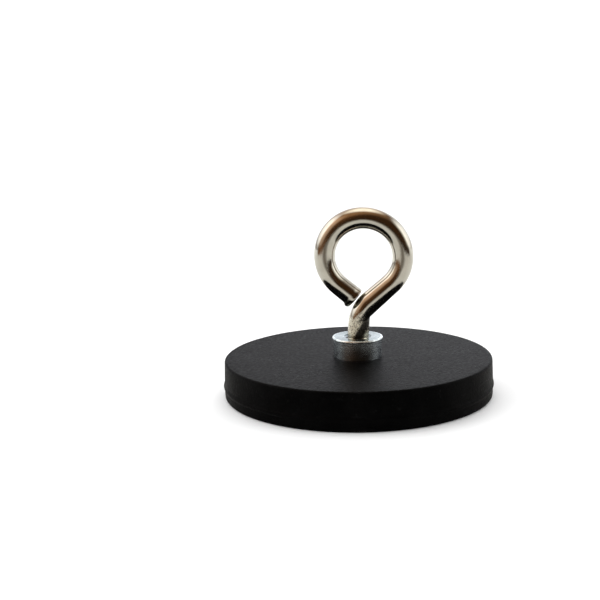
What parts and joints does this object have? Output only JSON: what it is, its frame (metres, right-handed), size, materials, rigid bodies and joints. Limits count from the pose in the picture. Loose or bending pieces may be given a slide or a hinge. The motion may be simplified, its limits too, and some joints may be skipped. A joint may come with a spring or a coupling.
{
  "type": "fishing magnet",
  "caption": "Rubber-coated disc magnet with a riveted centre bush and a screw-in closed wire eye that takes a retrieval line.",
  "frame": {"origin": "middle of the flat holding face, on the screw's axis", "axes": "+Z out of the back of the disc, along the screw towards the eye; the eye lies in the XZ plane, with the cut end of its wire on the -X side"},
  "size_m": [0.043, 0.043, 0.0299],
  "materials": {
    "rubber": "satin moulded black rubber",
    "plate_steel": "stamped mild steel",
    "zinc_plate": "bright zinc plate over fine turning lines",
    "magnet_nickel": "bright nickel plate",
    "wire_nickel": "warm bright nickel plate over drawn wire"
  },
  "bodies": {
    "magnet_base": {"rubber_jacket": "rubber", "back_plate": "plate_steel", "threaded_bush": "zinc_plate", "magnet_1": "magnet_nickel", "magnet_2": "magnet_nickel", "magnet_3": "magnet_nickel", "magnet_4": "magnet_nickel", "magnet_5": "magnet_nickel", "magnet_6": "magnet_nickel", "magnet_7": "magnet_nickel", "magnet_8": "magnet_nickel"},
    "screw_thread": {"eye_screw_thread": "wire_nickel"},
    "eye": {"eye_screw": "wire_nickel"}
  },
  "joints": [
    {"name": "eye_lift", "type": "slide", "parent": "magnet_base", "child": "screw_thread", "axis": [0, 0, 1], "range_m": [0, 0.0056]},
    {"name": "eye_turn", "type": "hinge", "parent": "screw_thread", "child": "eye", "pos_m": [0, 0, 0.0092], "axis": [0, 0, 1], "range_deg": [0, 2880]}
  ],
  "couplings": [
    {"joint": "eye_turn", "follows": "eye_lift", "rad_per_m": 8975.9}
  ]
}
